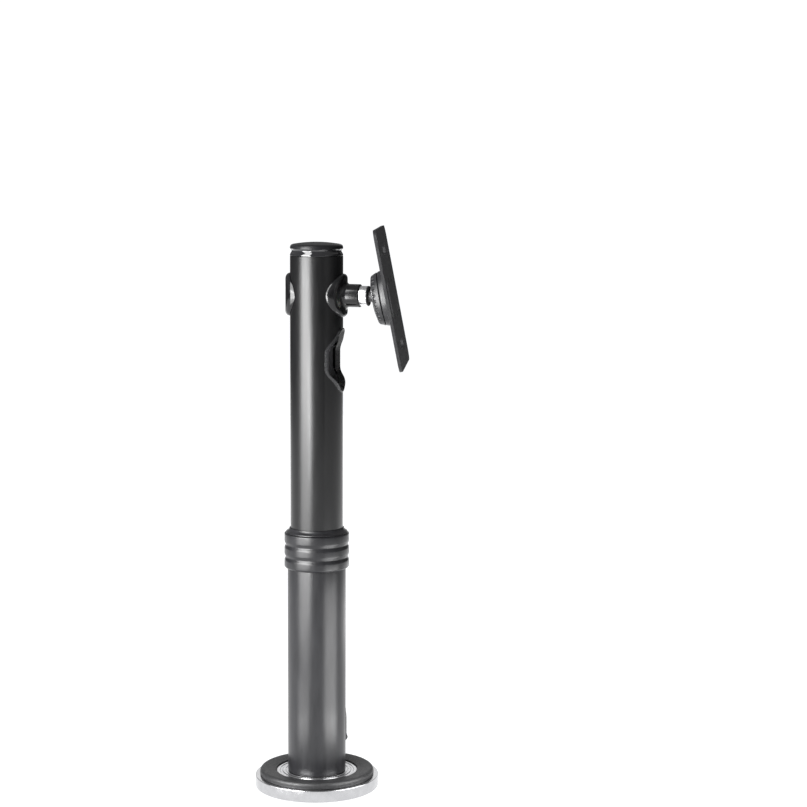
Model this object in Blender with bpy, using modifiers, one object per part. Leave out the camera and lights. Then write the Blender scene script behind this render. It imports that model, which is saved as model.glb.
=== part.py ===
"""Desk post mount for a flat display.

A round base carries a lower tube. An upper tube slides and turns in it, held by a twist collar.
A short arm on the upper tube ends in a part ball, which a tension ring clamps in a tilting head.
Metres, +Z up. The origin is the centre of the base's underside, and the arm points along +X.
"""

import bpy
import bmesh
from math import asin, cos, pi, radians, sin, sqrt, tan
from mathutils import Euler, Vector

MM = 0.001

# Fits: every running or resting pair of faces keeps this gap
gap = 0.3 * MM
screw_clearance = 0.3 * MM

# Desk base
base_radius = 53.3 * MM
base_rim_top = 10.6 * MM
base_rim_lift = 0.5 * MM
base_boss_top = 14.0 * MM
base_boss_radius = 34.7 * MM
boss_groove_setback = 3.7 * MM
boss_groove_width = 3.2 * MM
boss_groove_depth = 0.9 * MM
base_edge_round = 0.8 * MM

pad_thickness = 1.5 * MM
pad_setback = 3.3 * MM

ring_setback = 3.9 * MM
ring_rise = 5.6 * MM
ring_shoulder_round = 4.2 * MM
ring_inner_drop = 1.3 * MM
ring_shell = 1.8 * MM
ring_inner_depth = 3.0 * MM

desk_screw_setback = 9.8 * MM
desk_screw_hole_radius = 3.3 * MM
desk_screw_count = 3

# Lower tube and the foot that it stands on
lower_tube_radius = 25.0 * MM
lower_tube_wall = 1.5 * MM
lower_tube_length = 199.5 * MM

foot_spigot_radius = 17.7 * MM
foot_spigot_depth = 5.0 * MM
foot_plug_height = 15.0 * MM
foot_screw_circle_radius = 10.5 * MM
foot_screw_radius = 3.0 * MM
foot_screw_head_radius = 5.6 * MM
foot_screw_length = 15.0 * MM
foot_screw_count = 3

# Upper tube and its guide
tube_play = 1.0 * MM
upper_tube_wall = 2.0 * MM
tube_overlap = 93.5 * MM
upper_tube_length = 340.7 * MM

bush_flange_height = 8.0 * MM
bush_spigot_height = 20.0 * MM
bush_wall = 4.2 * MM
bush_lead = 1.2 * MM

# Twist lock at the top of the lower tube
collar_wall = 2.5 * MM
collar_overlap = 20.5 * MM
collar_cover = 10.0 * MM
collar_groove_pitch = 10.8 * MM
collar_groove_width = 3.4 * MM
collar_groove_depth = 1.9 * MM
collar_chamfer = 1.6 * MM
collar_lip = 1.6 * MM
collet_setback = 1.1 * MM
collet_slot = 2.0 * MM
wiper_height = 4.3 * MM
wiper_bottom_wall = 3.7 * MM
wiper_top_wall = 0.6 * MM

# Top cap
cap_groove_depth = 1.6 * MM
cap_groove_rise = 3.6 * MM
cap_lip_rise = 3.3 * MM
cap_lip_round = 2.2 * MM
cap_crown_height = 2.3 * MM
cap_plug_depth = 16.0 * MM
cap_wall = 2.0 * MM

# Cable ports: places below the arm and above the tube seat, and half sizes of the six-sided outline
upper_port_drop = 54.9 * MM
upper_port_half_width = 18.5 * MM
upper_port_half_side = 11.0 * MM
upper_port_half_length = 27.6 * MM
upper_port_half_tip = 5.0 * MM
upper_port_lip = 3.0 * MM

lower_port_rise = 37.7 * MM
lower_port_half_width = 12.5 * MM
lower_port_half_side = 9.0 * MM
lower_port_half_length = 17.0 * MM
lower_port_half_tip = 5.0 * MM
lower_port_lip = 2.4 * MM
lower_port_turn = radians(48)

port_rim = 2.2 * MM
port_wall = 1.9 * MM
port_proud = 0.9 * MM
port_depth = 3.6 * MM

# Arm: saddle flanges on both sides of the upper tube, and the sleeve
arm_drop = 33.1 * MM
saddle_radius = 18.4 * MM
saddle_thickness = 3.6 * MM
sleeve_radius = 9.8 * MM
sleeve_length = 12.2 * MM
sleeve_fillet = 4.0 * MM
plug_spigot_radius = 7.0 * MM
plug_spigot_length = 10.0 * MM

# Ball stud: the part ball's centre is this far past the sleeve's end
ball_standoff = 29.4 * MM
ball_radius = 14.5 * MM
ball_inner_radius = 9.5 * MM
ball_edge_angle = radians(46)
stud_neck_radius = 5.0 * MM
stud_shoulder_radius = 8.4 * MM
stud_shoulder_length = 6.5 * MM
stud_spigot_radius = 6.0 * MM
stud_rod_radius = 4.0 * MM
seal_radius = 8.6 * MM
seal_thickness = 1.0 * MM
spacer_wall = 1.4 * MM

# Head, measured behind the ball's centre along the head's axis
plate_front_setback = 0.9 * MM
drum_front_wall = 5.2 * MM
drum_rear_wall = 3.6 * MM
drum_depth = 6.7 * MM
ring_rim_setback = 2.4 * MM
ring_rim_depth = 5.5 * MM
ring_mouth_radius = 11.8 * MM
ring_mouth_slope = radians(12.4)
skirt_wall = 1.6 * MM
skirt_setback = 1.2 * MM
seat_run_out = radians(35)
notch_count = 28
notch_radius = 1.3 * MM
liner_thickness = 2.2 * MM
liner_mouth_angle = radians(33)
liner_edge_angle = radians(57)
washer_thickness = 0.4 * MM

# Display plate
plate_margin = 9.0 * MM
plate_thickness = 2.5 * MM
pattern_small = 75.0 * MM
pattern_large = 100.0 * MM
display_hole_radius = 2.3 * MM
plate_screw_radius = 1.2 * MM
plate_screw_head_radius = 2.4 * MM
plate_screw_length = 5.0 * MM
plate_screw_wall = 0.7 * MM
plate_screw_count = 4
window_half_width = 15.0 * MM
window_half_height = 4.0 * MM
window_offset = 40.0 * MM
window_corner = 3.5 * MM

# Rest attitude of the head: turned about the vertical, then leaned back
head_pan = radians(11.5)
head_tilt = radians(11.0)

# Steps round a full turn
large_steps = 36
medium_steps = 30
small_steps = 20
hole_steps = 12

ALONG_ARM = Euler((0, pi / 2, 0))
LINER_AXIS = Euler((0, pi / 2, head_pan))
HEAD_AXIS = Euler((0, pi / 2 - head_tilt, head_pan))

# Sizes that follow from the ones above
recess_top = pad_thickness + gap
pad_outer_radius = base_radius - pad_setback
ring_outer_radius = base_radius - ring_setback
desk_screw_circle_radius = base_radius - desk_screw_setback
boss_groove_radius = base_boss_radius - boss_groove_setback
ring_top = base_rim_top + ring_rise
tube_seat = base_boss_top + gap
lower_tube_top = tube_seat + lower_tube_length
lower_bore_radius = lower_tube_radius - lower_tube_wall
upper_tube_radius = lower_bore_radius - tube_play
upper_bore_radius = upper_tube_radius - upper_tube_wall
upper_tube_bottom = lower_tube_top - tube_overlap
upper_tube_top = upper_tube_bottom + upper_tube_length
arm_height = upper_tube_top - arm_drop
upper_port_height = arm_height - upper_port_drop
lower_port_height = tube_seat + lower_port_rise
collar_bottom = lower_tube_top - collar_overlap
collar_top = lower_tube_top + collar_cover
collar_bore_radius = lower_tube_radius + gap
collar_radius = collar_bore_radius + collar_wall
collet_bottom = lower_tube_top + gap
collet_top = collar_top - collet_setback
saddle_outer_radius = upper_tube_radius + gap + saddle_thickness
sleeve_end = saddle_outer_radius + sleeve_length
ball_centre_reach = sleeve_end + ball_standoff
ball_centre = Vector((ball_centre_reach, 0, arm_height))
shoulder_start = sleeve_end + gap
shoulder_end = shoulder_start + stud_shoulder_length
plate_rear = plate_front_setback + plate_thickness
drum_front = plate_rear + gap
drum_rear = drum_front + drum_depth
ring_front = drum_rear + gap
ring_rim = ring_front + ring_rim_depth
liner_inner_radius = ball_radius + gap
liner_outer_radius = liner_inner_radius + liner_thickness
seat_radius = liner_outer_radius + gap
skirt_outer_radius = seat_radius + skirt_wall
drum_bore_radius = skirt_outer_radius + gap
drum_front_radius = drum_bore_radius + drum_front_wall
drum_rear_radius = drum_bore_radius + drum_rear_wall
ring_rim_radius = drum_rear_radius - ring_rim_setback
ring_mouth = ring_rim + (ring_rim_radius - ring_mouth_radius) * tan(ring_mouth_slope)
plug_bore_end = -(upper_tube_radius + gap)


def start_clean():
    """Empty the scene of objects."""
    for thing in list(bpy.data.objects):
        bpy.data.objects.remove(thing)


def make_collection(name):
    """A collection linked to the scene."""
    group = bpy.data.collections.new(name)
    bpy.context.scene.collection.children.link(group)
    return group


def make_frame(name, place, turn=Euler((0, 0, 0))):
    """An empty that stands on a joint's axis and carries what moves with it."""
    frame = bpy.data.objects.new(name, None)
    frame.location = place
    frame.rotation_euler = turn
    frame.empty_display_size = 0.02
    parts.objects.link(frame)
    return frame


def add_object(name, mesh, frame=None, group=None):
    """An object for a mesh, at its frame's origin."""
    piece = bpy.data.objects.new(name, mesh)
    piece.parent = frame
    (group or parts).objects.link(piece)
    if group is cutters:
        piece.hide_render = True
        piece.display_type = "WIRE"
    return piece


def paint(piece, colour, roughness, metallic):
    """Give a piece its own material."""
    material = bpy.data.materials.new(piece.name)
    material.use_nodes = True
    shader = material.node_tree.nodes["Principled BSDF"]
    shader.inputs["Base Color"].default_value = (*colour, 1)
    shader.inputs["Roughness"].default_value = roughness
    shader.inputs["Metallic"].default_value = metallic
    piece.data.materials.append(material)
    return piece


def turned(name, profile, frame=None, closed=False, steps=medium_steps, group=None):
    """Turn a profile of (radius, height) points, given down its outer side, about local Z."""
    mesh = bpy.data.meshes.new(name)
    last = len(profile) - 1
    edges = [(i, i + 1) for i in range(last)]
    if closed:
        edges.append((last, 0))
    mesh.from_pydata([(r, 0, z) for r, z in profile], edges, [])
    piece = add_object(name, mesh, frame, group)
    turn = piece.modifiers.new("Turn", "SCREW")
    turn.angle = 2 * pi
    turn.steps = steps
    turn.render_steps = steps
    turn.use_smooth_shade = True
    turn.use_merge_vertices = True
    turn.merge_threshold = 0.00001
    return piece


def rod(name, radius, low, high, frame=None, steps=small_steps, group=None):
    """A plain round bar along local Z."""
    return turned(name, [(0, high), (radius, high), (radius, low), (0, low)], frame, steps=steps, group=group)


def cut(piece, tool, kind="DIFFERENCE"):
    """Cut, join or intersect a piece with another."""
    step = piece.modifiers.new(kind.title(), "BOOLEAN")
    step.operation = kind
    step.object = tool
    step.solver = "EXACT"


def arc(centre, radius, start, end, count):
    """Points on an arc in the profile plane: centre (r, z), angles from +r towards +z."""
    points = []
    for i in range(count + 1):
        angle = start + (end - start) * i / count
        points.append((centre[0] + radius * cos(angle), centre[1] + radius * sin(angle)))
    return points


def behind_ball(radius, start, end, count, centre=0.0):
    """Profile points on a sphere, by their angle from the axis behind its centre."""
    return arc((0, centre), radius, start - pi / 2, end - pi / 2, count)


def round_places(count, radius, start=0.0):
    """Evenly spaced places on a circle about local Z."""
    return [
        Vector((radius * cos(start + 2 * pi * i / count), radius * sin(start + 2 * pi * i / count), 0))
        for i in range(count)
    ]


def repeated(name, source, places, frame=None, group=None):
    """One object that holds a copy of a source piece's solid at each place."""
    bpy.context.view_layer.update()
    seen = bpy.context.evaluated_depsgraph_get()
    single = bpy.data.meshes.new_from_object(source.evaluated_get(seen))
    joined = bmesh.new()
    for place in places:
        before = len(joined.verts)
        joined.from_mesh(single)
        joined.verts.ensure_lookup_table()
        bmesh.ops.translate(joined, vec=place, verts=joined.verts[before:])
    mesh = bpy.data.meshes.new(name)
    joined.to_mesh(mesh)
    joined.free()
    bpy.data.objects.remove(source)
    return add_object(name, mesh, frame, group)


def flat_mesh(name, outlines, half_depth, frame=None, group=None):
    """A flat outline, and any outlines of holes in it, extruded both ways along local Z."""
    curve = bpy.data.curves.new(name, "CURVE")
    curve.dimensions = "2D"
    curve.fill_mode = "BOTH"
    curve.extrude = half_depth
    for outline in outlines:
        spline = curve.splines.new("POLY")
        spline.points.add(len(outline) - 1)
        for point, (x, y) in zip(spline.points, outline):
            point.co = (x, y, 0, 1)
        spline.use_cyclic_u = True
    guide = bpy.data.objects.new(name + "_guide", curve)
    parts.objects.link(guide)
    bpy.context.view_layer.update()
    seen = bpy.context.evaluated_depsgraph_get()
    mesh = bpy.data.meshes.new_from_object(guide.evaluated_get(seen))
    mesh.name = name
    welded = bmesh.new()
    welded.from_mesh(mesh)
    bmesh.ops.remove_doubles(welded, verts=welded.verts, dist=0.000001)
    bmesh.ops.recalc_face_normals(welded, faces=welded.faces)
    welded.to_mesh(mesh)
    welded.free()
    bpy.data.objects.remove(guide)
    return add_object(name, mesh, frame, group)


def rounded_rectangle(middle, half_width, half_height, corner, steps=4):
    """Outline points of a rectangle with round corners."""
    points = []
    for quarter in range(4):
        side_x = 1 if quarter in (0, 3) else -1
        side_y = 1 if quarter in (0, 1) else -1
        centre = (middle[0] + side_x * (half_width - corner), middle[1] + side_y * (half_height - corner))
        points += arc(centre, corner, quarter * pi / 2, (quarter + 1) * pi / 2, steps)
    return points


def box(name, size, centre, frame=None, group=None):
    """A box of the given size about a centre."""
    block = bmesh.new()
    bmesh.ops.create_cube(block, size=1.0)
    bmesh.ops.scale(block, vec=size, verts=block.verts)
    bmesh.ops.translate(block, vec=centre, verts=block.verts)
    mesh = bpy.data.meshes.new(name)
    block.to_mesh(mesh)
    block.free()
    return add_object(name, mesh, frame, group)


def make_base():
    """Base plate, its pad and the black ring that hides the desk screws."""
    plate = turned(
        "base_plate",
        [
            (0, base_boss_top - foot_spigot_depth),
            (foot_spigot_radius + gap, base_boss_top - foot_spigot_depth),
            (foot_spigot_radius + gap, base_boss_top),
            (boss_groove_radius - boss_groove_width / 2, base_boss_top),
            (boss_groove_radius, base_boss_top - boss_groove_depth),
            (boss_groove_radius + boss_groove_width / 2, base_boss_top),
            (base_boss_radius - base_edge_round, base_boss_top),
            (base_boss_radius, base_boss_top - base_edge_round),
            (base_boss_radius, base_rim_top),
            (base_radius - base_edge_round, base_rim_top),
            (base_radius, base_rim_top - base_edge_round),
            (base_radius, base_rim_lift + base_edge_round),
            (base_radius - base_edge_round, base_rim_lift),
            (pad_outer_radius + gap, base_rim_lift),
            (pad_outer_radius + gap, recess_top),
            (0, recess_top),
        ],
        base,
        steps=large_steps,
    )
    paint(plate, (0.62, 0.62, 0.63), 0.32, 0.9)

    pad = rod("desk_pad", pad_outer_radius, 0, pad_thickness, base, large_steps)
    paint(pad, (0.02, 0.02, 0.02), 0.9, 0)

    ring_bottom = base_rim_top + gap
    ring_inner_radius = base_boss_radius + gap
    ring_inner_top = ring_top - ring_inner_drop
    ring_inner_bottom = ring_inner_top - ring_inner_depth
    shoulder = (ring_outer_radius - ring_shoulder_round, ring_top - ring_shoulder_round)
    cover = turned(
        "cover_ring",
        [(ring_inner_radius, ring_inner_top)]
        + arc(shoulder, ring_shoulder_round, pi / 2, 0, 4)
        + [
            (ring_outer_radius, ring_bottom),
            (ring_outer_radius - ring_shell, ring_bottom),
            (ring_outer_radius - ring_shell, shoulder[1]),
            (shoulder[0], ring_top - ring_shell),
            (ring_inner_radius + ring_shell, ring_inner_top - ring_shell),
            (ring_inner_radius + ring_shell, ring_inner_bottom),
            (ring_inner_radius, ring_inner_bottom),
        ],
        base,
        closed=True,
        steps=large_steps,
    )
    paint(cover, (0.035, 0.035, 0.038), 0.5, 0)

    drill = (desk_screw_hole_radius, -base_rim_top, 2 * base_rim_top)
    desk_hole = rod("desk_hole", *drill, steps=hole_steps, group=cutters)
    places = round_places(desk_screw_count, desk_screw_circle_radius, pi / 3)
    desk_holes = repeated("desk_holes", desk_hole, places, base, cutters)
    cut(plate, desk_holes)
    cut(pad, desk_holes)
    return plate


def make_foot(plate):
    """The plug that the lower tube stands on, and the screws that hold it from below."""
    foot = turned(
        "tube_foot",
        [
            (0, tube_seat + foot_plug_height),
            (lower_bore_radius - gap - base_edge_round, tube_seat + foot_plug_height),
            (lower_bore_radius - gap, tube_seat + foot_plug_height - base_edge_round),
            (lower_bore_radius - gap, tube_seat),
            (foot_spigot_radius, tube_seat),
            (foot_spigot_radius, base_boss_top - foot_spigot_depth + gap),
            (0, base_boss_top - foot_spigot_depth + gap),
        ],
        base,
    )
    paint(foot, (0.5, 0.5, 0.51), 0.4, 0.9)

    head_height = foot_screw_head_radius - foot_screw_radius
    places = round_places(foot_screw_count, foot_screw_circle_radius)

    def screw_profile(extra):
        bottom = recess_top + gap
        return [
            (0, bottom + foot_screw_length + extra),
            (foot_screw_radius + extra, bottom + foot_screw_length + extra),
            (foot_screw_radius + extra, bottom + head_height + extra),
            (foot_screw_head_radius + extra, bottom),
            (foot_screw_head_radius + extra, bottom - 2 * extra),
            (0, bottom - 2 * extra),
        ]

    hole = turned("foot_screw_hole", screw_profile(screw_clearance), steps=hole_steps, group=cutters)
    holes = repeated("foot_screw_holes", hole, places, base, cutters)
    cut(plate, holes)
    cut(foot, holes)
    for number, place in enumerate(places, 1):
        screw = turned("foot_screw_" + str(number), screw_profile(0), base, steps=hole_steps)
        screw.location = place
        paint(screw, (0.4, 0.4, 0.41), 0.35, 1)


def make_tube(name, frame, radius, wall, bottom, top):
    """A plain open tube."""
    tube = turned(
        name,
        [(radius, top), (radius, bottom), (radius - wall, bottom), (radius - wall, top)],
        frame,
        closed=True,
        steps=large_steps,
    )
    return tube


def port_outline(half_width, half_side, half_length, half_tip, inset):
    """Six-sided port outline with blunt tips, drawn in by an inset: local X is down, local Y across."""
    wide = half_width - inset
    tip = half_length - inset
    slope = (half_length - half_side) / (half_width - half_tip)
    side = half_side - inset * (sqrt(1 + slope * slope) - slope)
    narrow = wide - (tip - side) / slope
    return [
        (-side, wide),
        (-tip, narrow),
        (-tip, -narrow),
        (-side, -wide),
        (side, -wide),
        (tip, -narrow),
        (tip, narrow),
        (side, wide),
    ]


def make_port(name, frame, tube, tube_radius, height, turn, sizes, lip):
    """A cable port in a tube wall: a rim outside the wall, a lining through it, and a lip below."""
    half_width, half_side, half_length, half_tip = sizes
    seat = make_frame(name + "_seat", (0, 0, height), Euler((0, 0, turn)))
    seat.parent = frame
    facing = make_frame(name + "_facing", (tube_radius, 0, 0), ALONG_ARM)
    facing.parent = seat

    def prism(label, inset, group=cutters):
        outline = port_outline(half_width, half_side, half_length, half_tip, inset)
        return flat_mesh(label, [outline], tube_radius * 0.6, facing, group)

    face = tube_radius + port_proud
    bulge = tube_radius + lip
    hood = tube_radius + port_proud + lip / 4
    past = half_length + 2 * port_rim
    outside = [
        (tube_radius + port_proud, past),
        (face, half_length),
        (hood, half_length * 0.92),
        (face, half_length * 0.76),
        (face, -half_length * 0.34),
        (bulge - lip / 8, -half_length * 0.54),
        (bulge, -half_length * 0.68),
        (bulge - lip / 8, -half_length * 0.82),
        (face, -half_length),
        (face, -past),
    ]

    def shell(label, inner, trim):
        profile = [(r - trim, z) for r, z in outside]
        return turned(label, profile + [(inner, -past), (inner, past)], seat, True, large_steps, cutters)

    port = prism(name, 0, parts)
    cut(port, shell(name + "_rim_shell", tube_radius + gap, 0), "INTERSECT")
    lining = prism(name + "_lining", port_rim)
    cut(lining, shell(name + "_lining_shell", tube_radius - port_depth, gap), "INTERSECT")
    cut(port, lining, "UNION")
    cut(port, prism(name + "_mouth", port_rim + port_wall))
    cut(tube, prism(name + "_cut", port_rim - gap))
    return port


def make_twist_lock():
    """Ribbed collar, the split collet that it squeezes, and the wiper on top."""
    top_bore = upper_tube_radius + gap + collar_lip
    cone_start = collet_bottom + (collet_top - collet_bottom) * 0.36
    middle = (collar_bottom + collar_top) / 2
    edge = collar_chamfer / 2
    outer = [(collar_radius - edge, collar_top), (collar_radius, collar_top - edge)]
    for groove in (middle + collar_groove_pitch / 2, middle - collar_groove_pitch / 2):
        outer += [
            (collar_radius, groove + collar_groove_width / 2),
            (collar_radius - collar_groove_depth, groove + collar_groove_width / 6),
            (collar_radius - collar_groove_depth, groove - collar_groove_width / 6),
            (collar_radius, groove - collar_groove_width / 2),
        ]
    outer += [
        (collar_radius, collar_bottom + collar_chamfer),
        (collar_radius - collar_chamfer, collar_bottom),
    ]
    inner = [
        (collar_bore_radius, collar_bottom),
        (collar_bore_radius, cone_start),
        (top_bore, collar_top),
    ]
    lock = turned("lock_collar", outer + inner, collar, closed=True, steps=large_steps)
    paint(lock, (0.05, 0.05, 0.053), 0.35, 0.6)

    taper = (collar_bore_radius - top_bore) / (collar_top - cone_start)
    collet_outer = lower_tube_radius
    collet_edge = collet_outer - taper * (collet_top - cone_start)
    collet = turned(
        "clamp_collet",
        [
            (collet_edge, collet_top),
            (collet_outer, cone_start),
            (collet_outer, collet_bottom),
            (upper_tube_radius + gap, collet_bottom),
            (upper_tube_radius + gap, collet_top),
        ],
        base,
        closed=True,
    )
    slot_size = (lower_tube_radius, collet_slot, 2 * collar_cover)
    slot_centre = (-lower_tube_radius, 0, (collet_bottom + collet_top) / 2)
    slot = box("collet_slot", slot_size, slot_centre, base, cutters)
    cut(collet, slot)
    paint(collet, (0.5, 0.5, 0.48), 0.5, 0)

    wiper_bottom = collar_top + gap
    wiper_bore_radius = upper_tube_radius + gap
    wiper_radius = wiper_bore_radius + wiper_bottom_wall
    wiper = turned(
        "wiper_ring",
        [
            (wiper_bore_radius + wiper_top_wall, wiper_bottom + wiper_height),
            (wiper_radius, wiper_bottom + wiper_height * 0.15),
            (wiper_radius, wiper_bottom),
            (wiper_bore_radius, wiper_bottom),
            (wiper_bore_radius, wiper_bottom + wiper_height),
        ],
        collar,
        closed=True,
        steps=large_steps,
    )
    paint(wiper, (0.02, 0.02, 0.02), 0.15, 0)


def make_glide():
    """Guide bush: its flange slides in the lower tube, and the upper tube turns on its spigot."""
    flange_top = upper_tube_bottom - gap
    flange_bottom = flange_top - bush_flange_height
    flange_radius = lower_bore_radius - gap
    spigot_radius = upper_bore_radius - gap
    bush_bore_radius = spigot_radius - bush_wall
    bush = turned(
        "glide_bush",
        [
            (spigot_radius - bush_lead, flange_top + bush_spigot_height),
            (spigot_radius, flange_top + bush_spigot_height - bush_lead),
            (spigot_radius, flange_top),
            (flange_radius, flange_top),
            (flange_radius, flange_bottom),
            (bush_bore_radius, flange_bottom),
            (bush_bore_radius, flange_top + bush_spigot_height),
        ],
        glide,
        closed=True,
    )
    paint(bush, (0.85, 0.85, 0.82), 0.45, 0)


def make_cap():
    """Cap that plugs the upper tube: a groove, a rounded lip and a shallow crown."""
    seam = upper_tube_top + gap
    plug_radius = upper_bore_radius - gap
    lip_middle = seam + cap_groove_rise + cap_lip_rise
    crown_base = lip_middle + cap_lip_round
    crown = [
        (0, crown_base + cap_crown_height),
        (upper_tube_radius * 0.36, crown_base + cap_crown_height * 0.88),
        (upper_tube_radius * 0.68, crown_base + cap_crown_height * 0.56),
    ]
    lip_centre = (upper_tube_radius - cap_lip_round, lip_middle)
    outer = crown + arc(lip_centre, cap_lip_round, pi / 2, -pi / 4, 4)
    outer += [
        (upper_tube_radius - cap_groove_depth, seam + cap_groove_rise),
        (upper_tube_radius, seam + cap_groove_rise * 0.45),
        (upper_tube_radius, seam),
        (plug_radius, seam),
        (plug_radius, seam - cap_plug_depth),
        (plug_radius - cap_wall, seam - cap_plug_depth),
        (plug_radius - cap_wall, seam + cap_groove_rise / 2),
        (0, seam + cap_groove_rise / 2),
    ]
    cap = turned("top_cap", outer, post, steps=large_steps)
    paint(cap, (0.012, 0.012, 0.013), 0.12, 0)


def saddle_core(name, reach, steps=large_steps):
    """A round flange whose faces follow the tube, on +X of the arm's frame or on -X."""
    low, high = (upper_tube_radius * 0.3, saddle_outer_radius * 1.1)
    if reach < 0:
        low, high = (-high, -low)
    flange = rod(name, saddle_radius, low, high, arm, steps)
    past = 2 * saddle_radius
    outer = rod(name + "_outer", saddle_outer_radius, -past, past, upright, steps, cutters)
    cut(flange, outer, "INTERSECT")
    return flange


def make_arm(upper_tube):
    """Arm boss with its sleeve, the blank plug opposite, the ball stud and what the stud carries."""
    seat_radius_on_tube = upper_tube_radius + gap
    past = 2 * saddle_radius
    tube_core = rod("saddle_seat", seat_radius_on_tube, -past, past, upright, large_steps, cutters)
    boss = saddle_core("arm_boss", 1)
    fillet_centre = (sleeve_radius + sleeve_fillet, saddle_outer_radius + sleeve_fillet)
    sleeve = turned(
        "arm_sleeve",
        [(0, sleeve_end), (sleeve_radius - gap, sleeve_end), (sleeve_radius, sleeve_end - gap)]
        + arc(fillet_centre, sleeve_fillet, pi, 1.5 * pi, 4)
        + [(sleeve_radius + sleeve_fillet, upper_tube_radius), (0, upper_tube_radius)],
        arm,
        steps=small_steps,
        group=cutters,
    )
    cut(boss, sleeve, "UNION")
    cut(boss, tube_core)
    bore = rod("sleeve_bore", stud_spigot_radius + gap, 0, 2 * sleeve_end, arm, group=cutters)
    cut(boss, bore)
    paint(boss, (0.03, 0.03, 0.032), 0.42, 0.3)

    plug = saddle_core("blank_plug", -1)
    cut(plug, tube_core)
    spigot_inner = upper_tube_radius - plug_spigot_length
    spigot_root = upper_tube_radius + 2 * gap
    spigot = rod("plug_spigot", plug_spigot_radius, -spigot_root, -spigot_inner, arm, group=cutters)
    cut(plug, spigot, "UNION")
    thread = rod("plug_thread", stud_rod_radius + gap, plug_bore_end, 0, arm, group=cutters)
    cut(plug, thread)
    paint(plug, (0.03, 0.03, 0.032), 0.42, 0.3)

    across = 2 * upper_tube_radius
    plug_hole = rod("plug_hole", plug_spigot_radius + gap, -across, 0, arm, group=cutters)
    stud_hole = rod("stud_hole", stud_spigot_radius + gap, 0, across, arm, group=cutters)
    cut(upper_tube, plug_hole)
    cut(upper_tube, stud_hole)

    neck_angle = asin(stud_neck_radius / ball_radius)
    spigot_start = upper_bore_radius
    front = behind_ball(ball_inner_radius, 0, ball_edge_angle, 4, ball_centre_reach)
    back = behind_ball(ball_radius, ball_edge_angle, neck_angle, 4, ball_centre_reach)
    stud = turned(
        "ball_stud",
        front
        + back
        + [
            (stud_neck_radius, shoulder_end),
            (stud_shoulder_radius - gap, shoulder_end),
            (stud_shoulder_radius, shoulder_end - gap),
            (stud_shoulder_radius, shoulder_start + gap),
            (stud_shoulder_radius - gap, shoulder_start),
            (stud_spigot_radius, shoulder_start),
            (stud_spigot_radius, spigot_start),
            (stud_rod_radius, spigot_start),
            (stud_rod_radius, plug_bore_end + gap),
            (0, plug_bore_end + gap),
        ],
        arm,
    )
    paint(stud, (0.75, 0.75, 0.76), 0.1, 1)

    seal_start = shoulder_end + gap
    seal = turned(
        "stud_seal",
        [
            (seal_radius - gap, seal_start + seal_thickness),
            (seal_radius, seal_start + seal_thickness / 2),
            (seal_radius - gap, seal_start),
            (stud_neck_radius + gap, seal_start),
            (stud_neck_radius + gap, seal_start + seal_thickness),
        ],
        arm,
        closed=True,
    )
    paint(seal, (0.02, 0.02, 0.02), 0.6, 0)

    spacer = turned(
        "spacer_sleeve",
        [
            (stud_rod_radius + gap + spacer_wall, spigot_start - gap),
            (stud_rod_radius + gap + spacer_wall, -spigot_inner + gap),
            (stud_rod_radius + gap, -spigot_inner + gap),
            (stud_rod_radius + gap, spigot_start - gap),
        ],
        arm,
        closed=True,
        steps=small_steps,
    )
    paint(spacer, (0.6, 0.6, 0.6), 0.4, 1)


def make_ball_seats():
    """Liner behind the part ball and pressure pad in front of it, both on spheres about its centre."""
    outer = behind_ball(liner_outer_radius, liner_edge_angle, liner_mouth_angle, 4)
    inner = behind_ball(liner_inner_radius, liner_mouth_angle, liner_edge_angle, 4)
    liner = turned("ball_liner", outer + inner, liner_pivot, closed=True)
    paint(liner, (0.8, 0.8, 0.78), 0.4, 0)

    pad_radius = ball_inner_radius - gap
    pad_face = plate_rear + 2 * gap + washer_thickness
    pad_rim = sqrt(pad_radius**2 - pad_face**2)
    dome = behind_ball(pad_radius, asin(pad_rim / pad_radius), 0, 5)
    pad = turned("pressure_pad", [(0, -pad_face)] + dome, tilt_pivot, steps=small_steps)
    paint(pad, (0.8, 0.8, 0.78), 0.4, 0)

    washer = turned(
        "wave_washer",
        [
            (pad_rim - gap, -plate_rear - gap),
            (pad_rim - gap, -plate_rear - gap - washer_thickness),
            (pad_rim / 2, -plate_rear - gap - washer_thickness),
            (pad_rim / 2, -plate_rear - gap),
        ],
        head,
        closed=True,
        steps=small_steps,
    )
    paint(washer, (0.6, 0.6, 0.6), 0.3, 1)


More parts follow.
